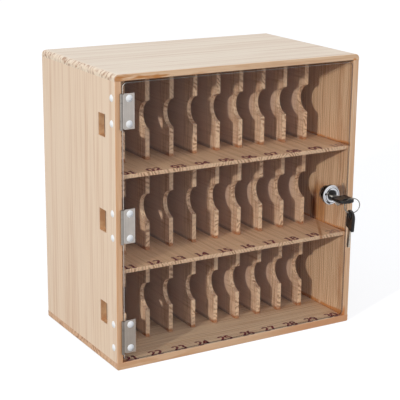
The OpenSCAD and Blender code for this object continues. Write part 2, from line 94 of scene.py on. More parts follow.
# Painted reflection and shade in bands at the steps of the lock's flange: each radius with its brightness
PAINTED_FLANGE_BANDS = (
    (0.0, 0.55), (6.3, 0.5), (6.7, 0.1), (7.2, 1.0), (8.9, 1.0), (9.3, 0.12), (9.8, 0.2),
    (10.2, 1.0), (11.0, 0.95), (11.3, 0.3), (11.7, 1.0), (12.4, 1.0), (12.8, 0.3),
)
RINGS_END = 16.0

# The light, and the camera that matches the photograph, in metres, with the camera's axes in the frame
SKY_TINT = (0.95, 0.99, 1.11)
LAMP_TINT = (1.0, 0.985, 0.96)
LAMP_PLACE = (-2.9, -1.45, 0.96)
LAMP_AIM = Vector((0.0, 0.0, 0.17))
CAMERA_PLACE = (-0.76651, -1.31182, 0.59159)
CAMERA_RIGHT = (0.86423922, -0.50298791, 0.00968126)
CAMERA_UP = (0.12836607, 0.23908523, 0.96247618)
CAMERA_BACK = (-0.48642853, -0.83056693, 0.27119341)
CAMERA_LENS = 109.94

# Wood, in sRGB from 0 to 255
WARM_PATCH = (214, 156, 106)
WARM_STREAK = (216, 160, 110)
PALE_STREAK = (250, 226, 196)
LATE_LINE = (164, 112, 74)
PANEL_RING = (146, 90, 46)
SHEET_RING = (146, 90, 50)
DARK_END = (206, 150, 98)
SHELF_END = (246, 216, 186)
DIVIDER_END = (252, 220, 180)
LOWER_RAIL = (214, 150, 102)
SHELF_TINT = (255, 248, 234)
# Painted shade: an even, bluer tone for the dividers' faces deeper in, where they lie in shade
PAINTED_SHADE_TONE = (222, 188, 168)
VEIN = (160, 106, 70)
SLOT_PALE = (218, 170, 120)
SLOT_DARK = (196, 138, 88)

# Glue, stains, a dark strip and painted shade, in sRGB from 0 to 255
GLUE_GLOW = (200, 126, 50)
GLUE_CORE = (112, 60, 28)
RAIL_STAIN = (190, 124, 62)
CORNER_DOT = (206, 132, 62)
CORNER_BURN = (168, 92, 40)
BURNT_END = (206, 118, 44)
STAIN = (196, 136, 74)
STAIN_LINE = (134, 76, 36)
DARK_STRIP = (104, 54, 30)
GAP_SHADE = (48, 34, 26)
# Painted shade along each divider's foot, where it meets the board below
PAINTED_FOOT_SHADE = (78, 58, 54)

# Fittings, in sRGB from 0 to 255
ZINC = (168, 164, 158)
NUT_ZINC = (206, 204, 200)
KEY_STEEL = (186, 180, 170)
RING_WIRE = (138, 135, 130)
RUBBER = (30, 29, 28)


def linear(red, green, blue):
    """The linear colour of an sRGB colour whose channels run from 0 to 255."""
    c = np.array([red, green, blue]) / 255
    return tuple(float(v) for v in np.where(c <= 0.04045, c / 12.92, ((c + 0.055) / 1.055) ** 2.4))


def rgba(colour):
    """A colour with a full alpha channel."""
    return (*tuple(colour)[:3], 1.0)


def colour_prop(name, description, *srgb):
    """A colour that a user may change, given in sRGB."""
    return FloatVectorProperty(
        name=name, description=description, subtype="COLOR", size=3, min=0, max=1, default=linear(*srgb)
    )


def number_prop(name, description, default, low, high, subtype="NONE"):
    """A number that a user may change between two limits."""
    limits = {"default": default, "min": low, "max": high}
    return FloatProperty(name=name, description=description, subtype=subtype, **limits)


class WoodSettings(PropertyGroup):
    outside: colour_prop("Outside", "Pale face wood of the panels", 234, 216, 190)
    outside_line: colour_prop("Outside grain", "Grain lines on the outside", 201, 163, 127)
    front: colour_prop("Front edge tint", "Multiplies the wood on the panels' front edges", 255, 232, 210)
    side: colour_prop("Side tint", "Multiplies the wood of the upright panels", 252, 243, 237)
    inside: colour_prop("Inside tint", "Multiplies the wood inside the cabinet", 253, 243, 229)
    sheet: colour_prop("Sheet wood", "Face wood of shelves, dividers and back", 230, 197, 165)
    sheet_line: colour_prop("Sheet grain", "Grain lines of shelves, dividers and back", 176, 130, 96)
    scorch: colour_prop("Scorch", "Brown of the glue and scorch marks at the joints", 172, 104, 48)
    number: colour_prop("Numbers", "Burnt colour of the place numbers", 102, 30, 32)


class FittingSettings(PropertyGroup):
    steel: colour_prop("Hinge steel", "Brushed steel of the hinges", 180, 173, 166)
    nylon: colour_prop("Rivets", "White nylon of the rivets", 236, 236, 233)
    chrome: colour_prop("Chrome", "Plating of the lock", 218, 218, 221)
    black: colour_prop("Black plastic", "Plastic of the key heads", 16, 15, 15)
    number_height: number_prop("Number height", "Height of a place number", 0.0132, 0.004, 0.02, "DISTANCE")
    number_width: number_prop("Number width", "Width of the two digits", 0.017, 0.006, 0.022, "DISTANCE")


class StageSettings(PropertyGroup):
    key_power: number_prop("Key light", "Power of the lamp on the left", 55.0, 0, 1000, "POWER")
    sky: number_prop("Sky", "Strength of the studio light near the horizon", 0.37, 0, 2)
    overhead: number_prop("Overhead", "Strength that the light gains towards the zenith", 0.8, 0, 3)
    ahead: number_prop("Ahead", "Strength that the light gains in front of the box", 0.35, 0, 2)
    floor: colour_prop("Floor", "Grey that the floor throws back on the object", 137, 137, 137)


class Tree:
    """Adds nodes to one node tree. Each input is a number, a tuple or another node's socket."""

    def __init__(self, tree):
        self.tree = tree
        tree.nodes.clear()

    def add(self, kind, inputs=None, **settings):
        node = self.tree.nodes.new(kind)
        for key, value in settings.items():
            setattr(node, key, value)
        for key, value in (inputs or {}).items():
            socket = node.inputs[key]
            if isinstance(value, bpy.types.NodeSocket):
                self.tree.links.new(value, socket)
            else:
                socket.default_value = rgba(value) if socket.type == "RGBA" else value
        return node

    def math(self, operation, *values, clamp=False):
        inputs = dict(enumerate(values))
        return self.add("ShaderNodeMath", inputs, operation=operation, use_clamp=clamp).outputs[0]

    def below(self, value, limit):
        """1 where the value is less than the limit."""
        return self.math("LESS_THAN", value, limit)

    def above(self, value, limit):
        """1 where the value is more than the limit."""
        return self.math("GREATER_THAN", value, limit)

    def size(self, value):
        return self.math("ABSOLUTE", value)

    def gap(self, a, b):
        return self.size(self.minus(a, b))

    def plus(self, a, b, clamp=False):
        return self.math("ADD", a, b, clamp=clamp)

    def minus(self, a, b):
        return self.math("SUBTRACT", a, b)

    def over(self, a, b):
        return self.math("DIVIDE", a, b)

    def scaled(self, value, factor, more, clamp=False):
        """The value times a factor, with more added."""
        return self.math("MULTIPLY_ADD", value, factor, more, clamp=clamp)

    def times(self, *values):
        product = values[0]
        for value in values[1:]:
            product = self.math("MULTIPLY", product, value)
        return product

    def vector(self, operation, *values):
        return self.add("ShaderNodeVectorMath", dict(enumerate(values)), operation=operation).outputs[0]

    def combine(self, x, y, z):
        return self.add("ShaderNodeCombineXYZ", {0: x, 1: y, 2: z}).outputs[0]

    def separate(self, socket):
        return list(self.add("ShaderNodeSeparateXYZ", {0: socket}).outputs)

    def noise(self, vector, detail=2.0, roughness=0.5):
        inputs = {"Vector": vector, "Scale": 1.0, "Detail": detail, "Roughness": roughness}
        return self.add("ShaderNodeTexNoise", inputs).outputs[0]

    def ramp(self, factor, *stops):
        """A grey that follows the stops. Each stop is a position and a value."""
        node = self.add("ShaderNodeValToRGB", {0: factor})
        elements = node.color_ramp.elements
        while len(elements) < len(stops):
            elements.new(0.5)
        for element, (position, value) in zip(elements, stops):
            element.position = position
            element.color = rgba([value] * 3)
        return node.outputs[0]

    def cycle(self, value, *stops):
        """A ramp that starts again at every whole number."""
        return self.ramp(self.math("FRACT", value), *stops)

    def mix(self, factor, a, b, blend="MIX"):
        inputs = {0: factor, 6: a, 7: b}
        return self.add("ShaderNodeMix", inputs, data_type="RGBA", blend_type=blend).outputs[2]

    def step(self, value, start, end):
        """Runs smoothly from 0 at start to 1 at end."""
        inputs = {"Value": value, "From Min": start, "From Max": end}
        return self.add("ShaderNodeMapRange", inputs, interpolation_type="SMOOTHSTEP").outputs[0]

    def vector_length(self, x, y, z):
        inputs = {0: self.combine(x, y, z)}
        return self.add("ShaderNodeVectorMath", inputs, operation="LENGTH").outputs["Value"]

    def between(self, value, low, high, soft=0.05):
        """1 where the value lies between two limits, and 0 beyond, over a soft step."""
        past = self.step(value, low - soft, low + soft)
        return self.times(past, self.step(value, high + soft, high - soft))

    def spots(self, mm, size, detail):
        """Even noise with features of one size in millimetres."""
        return self.noise(self.vector("DIVIDE", mm, (size, size, size)), detail)

    def paint(self, colour, tone, *shares):
        """Lays a tone given in sRGB over a colour, by the product of the shares."""
        return self.mix(self.times(*shares), colour, linear(*tone))

    def product(self, a, b):
        """Two colours multiplied."""
        return self.mix(1.0, a, b, "MULTIPLY")

    def faces(self):
        """How far a face looks along each axis, from -1 to 1."""
        return self.separate(self.add("ShaderNodeNewGeometry").outputs["Normal"])

    def blend(self, share, a, b):
        """Two shaders mixed."""
        return self.add("ShaderNodeMixShader", {0: share, 1: a, 2: b}).outputs[0]

    def clear(self, tint):
        return self.add("ShaderNodeBsdfTransparent", {"Color": tint}).outputs[0]

    def shader(self, tone, roughness, more):
        inputs = {"Base Color": tone, "Roughness": roughness, **more}
        return self.add("ShaderNodeBsdfPrincipled", inputs).outputs[0]

    def output(self, shader, kind="Material"):
        self.add(f"ShaderNodeOutput{kind}", {"Surface": shader})

    def surface(self, tone, roughness, bump=None, **more):
        """The material's one shader. Bump is a height, a strength and a distance in metres."""
        if bump:
            names = ("Height", "Strength", "Distance")
            more["Normal"] = self.add("ShaderNodeBump", dict(zip(names, bump))).outputs[0]
        self.output(self.shader(tone, roughness, more))


def material(name):
    """A new material and its node tree's builder."""
    made = bpy.data.materials.new(name)
    made.use_nodes = True
    return made, Tree(made.node_tree)


def placed_material(name):
    """A new material, its builder, and the place on the piece in millimetres."""
    made, tree = material(name)
    place = tree.add("ShaderNodeTexCoord").outputs["Object"]
    scaled = tree.add("ShaderNodeVectorMath", {0: place, "Scale": 1000.0}, operation="SCALE")
    return made, tree, scaled.outputs[0]


def dress(nodes, finish):
    """Gives the named CAD nodes one finish."""
    for name in nodes:
        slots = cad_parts[name].data.materials
        slots.clear()
        slots.append(finish)


def cells(tree, mm, cell):
    """The random colour of the piece of wood that a point lies in, from 0 to 1 in each channel. A cell
    is given by its size and the corner that the count starts from."""
    size, origin = cell
    counted = tree.vector("FLOOR", tree.vector("DIVIDE", tree.vector("SUBTRACT", mm, origin), size))
    return tree.add("ShaderNodeTexWhiteNoise", {"Vector": counted}, noise_dimensions="3D").outputs["Color"]


def streaks(tree, place, length, width, detail=2.0):
    """Noise drawn out along the first of the place's three coordinates."""
    sizes = (length, width, width)
    drawn = tree.combine(*(tree.over(part, size) for part, size in zip(place, sizes)))
    return tree.noise(drawn, detail, 0.55)


def grain(tree, mm, axes, cell, spread, heart, pitch, warp):
    """Growth rings round a heart line that runs along the first axis: the distance from that line, bent
    by slow noise, is cut into rings of one pitch. Each cell is a piece of wood of its own, moved by a
    random amount. Gives late wood, fibres, streaks, slow tone and threads, each from 0 to 1."""
    chance = cells(tree, mm, cell)
    moved = tree.separate(tree.vector("ADD", mm, tree.vector("MULTIPLY", chance, spread)))
    place = [moved[axis] for axis in axes]

    bend = tree.times(tree.minus(streaks(tree, place, 190.0, 46.0, 3.0), 0.5), warp)
    radius = tree.vector_length(tree.minus(place[1], heart[0]), tree.minus(place[2], heart[1]), 0.0)
    ring = tree.over(tree.plus(radius, bend), pitch)
    late = tree.cycle(ring, (0.0, 0.0), (0.45, 0.1), (0.8, 1.0), (1.0, 0.0))
    slow = tree.noise(tree.combine(tree.times(ring, 0.37), tree.over(place[0], 260.0), 0.0))
    late = tree.times(late, tree.step(slow, 0.3, 0.68))

    fibre = streaks(tree, place, 60.0, 1.1, 3.0)
    streak = tree.step(streaks(tree, place, 260.0, 4.5, 1.0), 0.34, 0.7)
    tone = streaks(tree, place, 300.0, 24.0)
    thread = tree.step(streaks(tree, place, 110.0, 1.7), 0.56, 0.74)
    return late, fibre, streak, tone, thread


def end_ticks(tree, mm, across, through, strip, pitch):
    """Growth rings where a board is cut across its grain: short slanted lines from face to face. The
    board is glued from strips, and each strip has its own slant. Gives 0 to 1."""
    size, origin = [WHOLE] * 3, [-WHOLE / 2] * 3
    size[across], origin[across] = strip, -strip * 20.3
    chance = tree.separate(cells(tree, mm, (size, origin)))
    place = tree.separate(mm)
    slant = tree.scaled(chance[0], 2.4, -1.2)
    slid = tree.plus(place[across], tree.times(place[through], slant))
    turn = tree.plus(tree.over(slid, pitch), tree.times(tree.spots(mm, 13.0, 2.0), 2.6))
    line = tree.cycle(turn, (0.0, 0.05), (0.3, 0.0), (0.6, 1.0), (0.8, 0.9), (1.0, 0.05))
    patchy = tree.step(tree.spots(mm, 6.0, 3.0), 0.32, 0.56)
    often = tree.scaled(tree.step(tree.spots(mm, 34.0, 1.0), 0.42, 0.58), 0.65, 0.35)
    return tree.times(line, patchy, often)


def end_face(tree, axis, start):
    """1 on faces that look along the given axis."""
    return tree.step(tree.size(tree.faces()[axis]), start, start + 0.2)


def grain_colour(tree, parts, pale, line, shares):
    """The wood's colour, from its pale tone to its line tone, by the shares of rings, fibres, streaks,
    slow tone and threads."""
    mark = tree.times(parts[0], shares[0])
    for part, middle, share in zip(parts[1:], (0.5, 0.3, 0.45, 0.12), shares[1:]):
        mark = tree.plus(mark, tree.times(tree.minus(part, middle), share))
    return tree.mix(tree.math("MAXIMUM", tree.math("MINIMUM", mark, 1.0), 0.0), pale, line)


def row_height(tree, z):
    """The height above the row's own floor, in millimetres."""
    turn = tree.math("FRACT", tree.over(tree.minus(z, FLOOR_Z), ROW_STEP))
    return tree.times(turn, ROW_STEP)


def wavy_lines(tree, mm, along):
    """Late wood as seen on a quarter-sawn face: dark lines at an even pitch from front to back that run
    along an axis, bent by slow noise and strong in some places only. Gives 0 to 1."""
    place = tree.separate(mm)
    far, deep = place[along], place[1]
    bend = tree.noise(tree.combine(tree.over(far, 170.0), tree.over(deep, 48.0), 0.0))
    turn = tree.over(tree.scaled(bend, 26.0, deep), 4.1)
    line = tree.cycle(turn, (0.0, 0.0), (0.35, 0.1), (0.68, 1.0), (0.82, 0.25), (1.0, 0.0))
    vary = tree.noise(tree.combine(tree.times(turn, 0.61), tree.over(far, 130.0), 0.0))
    return tree.times(line, tree.step(vary, 0.28, 0.62))


def panel_wood(name, settings, axes, heart, strip, marks):
    """Pine of the outer panels: pale outside, warmer on the front edges and inside, with scorched glue
    lines at the joints. Marks adds what only this finish has to the colour."""
    finish, tree, mm = placed_material(name)
    x, y, z = tree.separate(mm)
    parts = grain(tree, mm, axes, strip, (900.0, 300.0, 900.0), heart, 6.5, 26.0)

    inside = tree.times(
        tree.below(tree.size(x), INNER_X + 0.4),
        tree.above(z, FLOOR_Z - 0.4),
        tree.below(z, CEILING_Z + 0.4),
        tree.above(y, EDGE_Y),
    )
    front = tree.below(y, EDGE_Y)
    rings = tree.scaled(inside, 0.42, 0.13)
    shares = (rings, 0.6, 0.42, 0.7, 0.38)
    colour = grain_colour(tree, parts, settings.outside, settings.outside_line, shares)
    if axes[0] == 2:
        colour = tree.product(colour, settings.side)
    colour = tree.mix(front, colour, tree.product(colour, settings.front))
    colour = tree.mix(inside, colour, tree.product(colour, settings.inside))
    colour = tree.paint(colour, LATE_LINE, inside, wavy_lines(tree, mm, axes[0]), 0.8)

    blot = tree.spots(mm, 9.0, 3.0)
    forward = tree.step(y, FRONT_Y + 34.0, FRONT_Y + 6.0)
    foot = tree.plus(row_height(tree, z), tree.times(tree.minus(blot, forward), 1.8))
    wall = tree.times(inside, tree.above(tree.size(x), INNER_X - 0.8))
    deep = tree.scaled(tree.below(z, LOW_FOOT_Z), -1.4, foot)
    glow = tree.times(wall, tree.step(deep, 5.0, 2.4), tree.step(blot, 0.24, 0.46))
    colour = tree.paint(colour, GLUE_GLOW, glow, 0.9)
    core = tree.scaled(tree.above(z, LOW_FOOT_Z), 0.45, 0.25)
    colour = tree.paint(colour, GLUE_CORE, wall, tree.step(foot, 2.4, 1.0), core)
    gap = tree.times(
        tree.below(tree.size(x), INNER_X - 0.4),
        tree.below(tree.gap(z, CEILING_Z), 1.2),
        tree.step(y, FRONT_Y + 7.3, FRONT_Y + 6.7),
        tree.below(z, CEILING_Z + 0.75),
    )
    colour = tree.paint(colour, GAP_SHADE, gap, 0.85)
    colour = marks(tree, settings, mm, colour, blot)

    height = tree.minus(parts[1], tree.times(parts[0], 0.6))
    tree.surface(colour, tree.scaled(parts[1], 0.22, 0.38), (height, 0.3, 0.00012))
    return finish


def upright_marks(tree, settings, mm, colour, blot):
    """Warm patches on the front edges, cut faces of the cable slots in the left panel, and the stain on
    the right panel below the lock, with a dark brown strip along its back edge."""
    x, y, z = tree.separate(mm)
    front = tree.below(y, EDGE_Y)
    patch = tree.step(streaks(tree, (z, x, y), 120.0, 7.0), 0.36, 0.66)
    colour = tree.paint(colour, WARM_PATCH, front, tree.step(x, 40.0, -40.0), patch, 0.6)
    edge = tree.times(front, tree.step(x, -40.0, 40.0))
    pale = tree.step(streaks(tree, (z, x, y), 90.0, 1.9), 0.46, 0.66)
    colour = tree.paint(colour, PALE_STREAK, edge, pale, 0.6)
    warm = tree.step(streaks(tree, (z, x, tree.plus(y, 700.0)), 110.0, 2.4), 0.52, 0.68)
    colour = tree.paint(colour, WARM_STREAK, edge, warm, 0.55)
    low = tree.step(z, FLOOR_Z + 16.0, FLOOR_Z + 6.0)
    colour = tree.paint(colour, BURNT_END, edge, tree.step(x, INNER_X + 4.5, INNER_X + 2.0), low, 0.85)
    height = tree.minus(row_height(tree, z), (ROW_STEP - SHELF_T) / 2)
    slot = tree.times(
        tree.between(x, -INNER_X - 7.5, -INNER_X - 0.4),
        tree.between(y, SLOT_Y[0] - 0.3, SLOT_Y[1] + 0.3),
        tree.below(tree.size(height), SLOT_H / 2 + 0.3),
    )
    cut = tree.mix(tree.step(blot, 0.35, 0.65), linear(*SLOT_PALE), linear(*SLOT_DARK))
    colour = tree.mix(tree.times(slot, 0.9), colour, cut)
    wall = tree.times(tree.above(x, INNER_X - 0.4), tree.below(x, INNER_X + 0.4))
    ragged = tree.scaled(streaks(tree, (z, y, x), 60.0, 3.0), 16.0, y)
    fade = tree.step(tree.scaled(blot, 20.0, z), 196.0, 176.0)
    patch = tree.times(wall, tree.between(ragged, -46.0, -20.0, 4.0))
    lines = tree.step(streaks(tree, (z, y, x), 90.0, 1.6), 0.42, 0.66)
    golden = tree.mix(lines, linear(*STAIN), linear(*STAIN_LINE))
    colour = tree.mix(tree.times(patch, tree.step(z, 114.0, 124.0), fade, 0.74), colour, golden)
    # A dark brown strip along the stain's back edge, low on the wall
    strip = tree.times(tree.between(ragged, -27.0, -15.0, 2.5), tree.between(z, 121.0, 164.0, 6.0))
    return tree.paint(colour, DARK_STRIP, wall, strip, 0.85)


def flat_marks(tree, settings, mm, colour, blot):
    """Growth rings on the sawn ends of the top and bottom panels, with the bottom one's end darkened,
    and scorch along the front edge and round the dividers' feet."""
    x, y, z = tree.separate(mm)
    ends = end_face(tree, 0, 0.25)
    low = tree.below(z, FLOOR_Z + 0.4)
    colour = tree.paint(colour, DARK_END, ends, low, 0.7)
    ticks = end_ticks(tree, mm, 1, 2, 47.0, 8.6)
    colour = tree.paint(colour, PANEL_RING, ends, ticks, tree.scaled(low, 0.2, 0.75))
    edge = tree.below(y, EDGE_Y)
    left = tree.plus(tree.times(tree.step(x, -40.0, -100.0), 0.85), 0.18, clamp=True)
    patch = tree.step(streaks(tree, (x, y, z), 34.0, 5.0), 0.45, 0.6)
    rail = tree.times(edge, patch, left, tree.scaled(low, -0.6, 1.0))
    corner = tree.vector_length(tree.times(tree.plus(x, 168.0), 0.5), 0.0, tree.minus(z, 351.0))
    spot = tree.times(edge, tree.step(tree.scaled(blot, 4.0, corner), 7.5, 3.5), 0.85)
    far = tree.vector_length(tree.minus(x, 163.5), 0.0, tree.minus(z, 348.5))
    dot = tree.times(edge, tree.step(tree.scaled(blot, 2.0, far), 4.6, 2.6), 0.85)
    colour = tree.paint(colour, RAIL_STAIN, tree.math("MAXIMUM", rail, spot))
    colour = tree.paint(colour, CORNER_DOT, dot)
    share = tree.scaled(tree.step(x, 20.0, 110.0), 0.6, 0.25)
    colour = tree.paint(colour, LOWER_RAIL, edge, low, share)
    aside = tree.times(tree.minus(tree.size(x), INNER_X), 0.6)
    near = tree.vector_length(aside, tree.minus(y, FRONT_Y), 0.0)
    on_floor = tree.below(tree.gap(z, FLOOR_Z), 0.5)
    burn = tree.step(tree.scaled(blot, 8.0, near), 17.0, 7.0)
    colour = tree.paint(colour, CORNER_BURN, on_floor, tree.above(y, EDGE_Y), burn, 0.8)
    return tree.mix(feet_glow(tree, x, y, z, blot), colour, settings.scorch)


def feet_glow(tree, x, y, z, blot):
    """Scorch on a floor round each divider's front foot: a soft spot at every pitch along the row."""
    first = FIRST_DIVIDER_X + DIVIDER_T / 2 - DIVIDER_PITCH / 2
    turn = tree.math("FRACT", tree.over(tree.minus(x, first), DIVIDER_PITCH))
    aside = tree.times(tree.minus(turn, 0.5), DIVIDER_PITCH)
    back = tree.times(tree.math("MAXIMUM", tree.minus(y, DIVIDER_FRONT_Y), 0.0), 0.3)
    ahead = tree.math("MAXIMUM", tree.minus(DIVIDER_FRONT_Y, y), 0.0)
    spot = tree.step(tree.scaled(blot, 9.0, tree.vector_length(aside, back, ahead)), 10.0, 5.0)
    inside = tree.below(tree.size(x), -FIRST_DIVIDER_X + 2.0)
    on_floor = tree.step(tree.gap(row_height(tree, tree.plus(z, 1.0)), 1.0), 0.6, 0.3)
    return tree.times(spot, inside, on_floor, 0.6)


def sheet_wood(name, settings, axes, heart, cell, ticks, share, sawn, marks=None):
    """Wood of the shelves, the dividers and the back, with a share of growth rings on the sawn ends.
    Ticks gives the rings' axes, the strips' width and the rings' pitch."""
    finish, tree, mm = placed_material(name)
    parts = grain(tree, mm, axes, cell, (70.0, 900.0, 60.0), heart, 4.6, 20.0)
    shares = (0.46, 0.45, 0.36, 0.4, 0.4)
    colour = grain_colour(tree, parts, settings.sheet, settings.sheet_line, shares)
    ends = tree.paint(tree.mix(0.7, colour, sawn), SHEET_RING, end_ticks(tree, mm, *ticks), share)
    colour = tree.mix(end_face(tree, axes[0], 0.5), colour, ends)
    if marks:
        colour = marks(tree, settings, mm, colour)
    height = tree.minus(parts[1], tree.times(parts[0], 0.6))
    tree.surface(colour, tree.scaled(parts[1], 0.25, 0.45), (height, 0.35, 0.00012))
    return finish


def divider_marks(tree, settings, mm, colour):
    """Veins near a divider's front edge; deeper in, where the divider lies in shade, an even tone of
    painted shade; painted shade along the foot, scorch on the front of the foot, and a thinner line of it
    under the board above."""
    x, y, z = tree.separate(mm)
    blot = tree.spots(mm, 5.0, 3.0)
    depth = tree.minus(y, DIVIDER_FRONT_Y)
    height = row_height(tree, z)
    near = tree.times(tree.step(depth, 0.2, 1.0), tree.step(depth, 34.0, 20.0))
    veins = tree.step(streaks(tree, (z, y, x), 46.0, 2.0), 0.46, 0.62)
    colour = tree.paint(colour, VEIN, near, veins, 0.5)
    # Painted shade: deeper in, where the divider lies in shade, the wood turns an even, bluer tone
    colour = tree.paint(colour, PAINTED_SHADE_TONE, tree.step(depth, 14.0, 30.0), 0.62)
    low = tree.times(tree.step(tree.scaled(blot, 4.0, height), 6.6, 4.4), tree.step(depth, 14.0, 4.0))
    # Painted shade along the foot of the divider, where it meets the board below
    colour = tree.paint(colour, PAINTED_FOOT_SHADE, tree.step(height, 6.0, 1.0), tree.step(depth, 0.0, 1.0), 0.5)
    ceiling = ROW_STEP - SHELF_T
    high = tree.step(tree.scaled(blot, -2.0, height), ceiling - 2.6, ceiling - 1.0)
    mark = tree.plus(tree.times(low, 0.85), tree.times(high, 0.3), clamp=True)
    return tree.mix(mark, colour, settings.scorch)


def shelf_marks(tree, settings, mm, colour):
    """Scorch round the dividers' feet, and a faint runnel of lacquer below the lock."""
    x, y, z = tree.separate(mm)
    blot = tree.spots(mm, 9.0, 3.0)
    colour = tree.product(colour, linear(*SHELF_TINT))
    colour = tree.mix(feet_glow(tree, x, y, z, blot), colour, settings.scorch)
    aside = tree.minus(tree.scaled(y, -0.6, x), 184.0)
    runnel = tree.times(
        tree.step(tree.scaled(blot, 1.5, tree.size(aside)), 4.0, 1.6),
        tree.below(z, 130.0),
        tree.scaled(tree.step(y, -60.0, -80.0), 0.3, 0.4),
    )
    return tree.mix(runnel, colour, settings.scorch)


class LOCKER_OT_wood(Operator):
    """Gives the panels, shelves, dividers and back their wood"""

    bl_idname = "locker.wood"
    bl_label = "Finish the wood"

    def execute(self, context):
        wood = context.scene.locker_wood
        half = -WHOLE / 2
        strip = ((WHOLE, 58.0, WHOLE), (half, -131.0, half))
        upright = panel_wood("upright_pine", wood, (2, 1, 0), (60.0, 190.0), strip, upright_marks)
        dress(PANELS_UP, upright)
        flat = panel_wood("flat_pine", wood, (0, 1, 2), (40.0, -110.0), strip, flat_marks)
        dress(PANELS_FLAT, flat)
        board = ((WHOLE, WHOLE, ROW_STEP), (half, half, FLOOR_Z - 6.0))
        slat = ((DIVIDER_PITCH, WHOLE, ROW_STEP), (FIRST_DIVIDER_X - 10.0, half, FLOOR_Z - 1.0))
        staves = ((85.0, WHOLE, WHOLE), (-2040.0, half, half))
        pale, warm = linear(*SHELF_END), linear(*DIVIDER_END)
        shelf = ((1, 0, 2), (20.0, -60.0), board, (0, 2, 41.0, 4.4), 0.85, pale, shelf_marks)
        divider = ((1, 2, 0), (90.0, 30.0), slat, (2, 0, 38.0, 6.8), 0.78, warm, divider_marks)
        back = ((2, 0, 1), (30.0, 240.0), staves, (0, 1, 60.0, 6.0), 0.6, wood.outside)
        dress(SHELVES, sheet_wood("shelf_wood", wood, *shelf))
        dress(DIVIDERS, sheet_wood("divider_wood", wood, *divider))
        dress(("back_panel",), sheet_wood("back_wood", wood, *back))
        return {"FINISHED"}


def clear_acrylic():
    """Clear sheet that passes light straight through its faces and mirrors more at a slant. Its edges
    are frosted, pale in front and brown behind, and glow faintly as painted light; on the top edge the
    part behind is painted black as shade. Those on the right and below are darker and clearer."""
    finish, tree, mm = placed_material("clear_acrylic")
    slant = tree.add("ShaderNodeLayerWeight", {"Blend": 0.5}).outputs["Facing"]
    mirror = tree.scaled(tree.math("POWER", slant, 5.0), 0.9, 0.008, clamp=True)
    smear = tree.spots(mm, 60.0, 4.0)
    through = tree.clear((0.985, 0.98, 0.972))
    gloss = tree.shader((1, 1, 1), tree.scaled(smear, 0.06, 0.02), {"Metallic": 1.0})
    face = tree.blend(mirror, through, gloss)

    x, y, z = tree.separate(mm)
    normal = tree.faces()
    frost = tree.noise(tree.vector("DIVIDE", mm, (9.0, 1.5, 9.0)), 3.0)
    top = tree.above(normal[2], 0.6)
    deep = tree.step(tree.scaled(top, 0.5, y), FRONT_Y + 1.0, FRONT_Y + 1.9)
    upper = tree.times(top, deep)
    pale = tree.mix(frost, (0.78, 0.76, 0.72), (0.97, 0.96, 0.94))
    # Painted shade: the back of the top edge is near black
    back = tree.mix(upper, (0.42, 0.31, 0.21), (0.02, 0.016, 0.012))
    tone = tree.mix(deep, pale, back)
    # Painted light: the frosted edges glow faintly, the top one more
    glow = {"Emission Color": tone, "Emission Strength": tree.scaled(top, 0.14, 0.12)}
    more = {"Specular IOR Level": tree.scaled(upper, -0.48, 0.5), **glow}
    rim = tree.shader(tone, tree.scaled(frost, 0.2, 0.25), more)

    right = tree.times(tree.size(normal[0]), tree.above(x, 0.0))
    under = tree.times(tree.size(normal[2]), tree.below(z, 100.0))
    bright = tree.blend(tree.scaled(upper, 0.2, 0.8), through, rim)
    dark = tree.blend(0.12, tree.clear((0.64, 0.64, 0.66)), rim)
    edge = tree.blend(tree.plus(right, under, clamp=True), bright, dark)
    tree.output(tree.blend(tree.above(tree.size(normal[1]), 0.6), edge, face))
    return finish


def brushed_steel(name, colour, along, roughness):
    """Metal with fine scratches along one axis and slow smudges."""
    finish, tree, mm = placed_material(name)
    lengths = [0.16, 0.16, 0.16]
    lengths[along] = 14.0
    brush = tree.noise(tree.vector("DIVIDE", mm, lengths), 4.0, 0.65)
    smudge = tree.scaled(tree.spots(mm, 7.0, 3.0), 0.16, 0.92)
    shade = tree.times(tree.scaled(brush, 0.32, 0.84), smudge)
    tone = tree.product(colour, tree.combine(shade, shade, shade))
    tree.surface(tone, tree.scaled(brush, 0.2, roughness), (brush, 0.2, 0.00004), Metallic=1.0)
    return finish


def hinge_steel(colour):
    """Pressed steel of the hinges, brushed up and down. The knuckles are darker, with painted shade in
    the seam beside them, painted highlights beside the seam and along the plates' outer edges, and the
    lowest hinge is darker."""
    finish, tree, mm = placed_material("hinge_steel")
    x, y, z = tree.separate(mm)
    brush = tree.noise(tree.vector("DIVIDE", mm, (1.7, 1.7, 60.0)), 3.0, 0.6)
    smudge = tree.scaled(tree.spots(mm, 7.0, 3.0), 0.2, 0.9)
    shade = tree.times(tree.scaled(brush, 0.5, 0.76), smudge)
    front = tree.below(y, FRONT_Y - 0.4)
    knuckle = tree.times(front, tree.step(x, PIN_X + 2.0, PIN_X + 1.6), -0.42)
    # Painted shade in the seam between each plate and its knuckle
    seam = tree.times(front, tree.between(x, PIN_X + 1.5, PIN_X + 2.3, 0.2), -0.3)
    # Painted highlights: a bright line beside the seam and along each plate's outer edge
    inner = tree.between(x, PIN_X + 2.5, PIN_X + 3.3, 0.2)
    rim = tree.times(front, tree.plus(inner, tree.step(x, LEAF_X - 0.9, LEAF_X - 0.4)), 0.22)
    for part in (knuckle, seam, rim):
        shade = tree.times(shade, tree.plus(part, 1.0))
    tone = tree.product(colour, tree.combine(shade, shade, shade))
    tone = tree.mix(tree.step(z, 80.0, 50.0), tone, tree.product(tone, (0.74, 0.7, 0.66)))
    tree.surface(tone, tree.scaled(brush, 0.25, 0.34), (brush, 0.25, 0.00004), Metallic=1.0)
    return finish


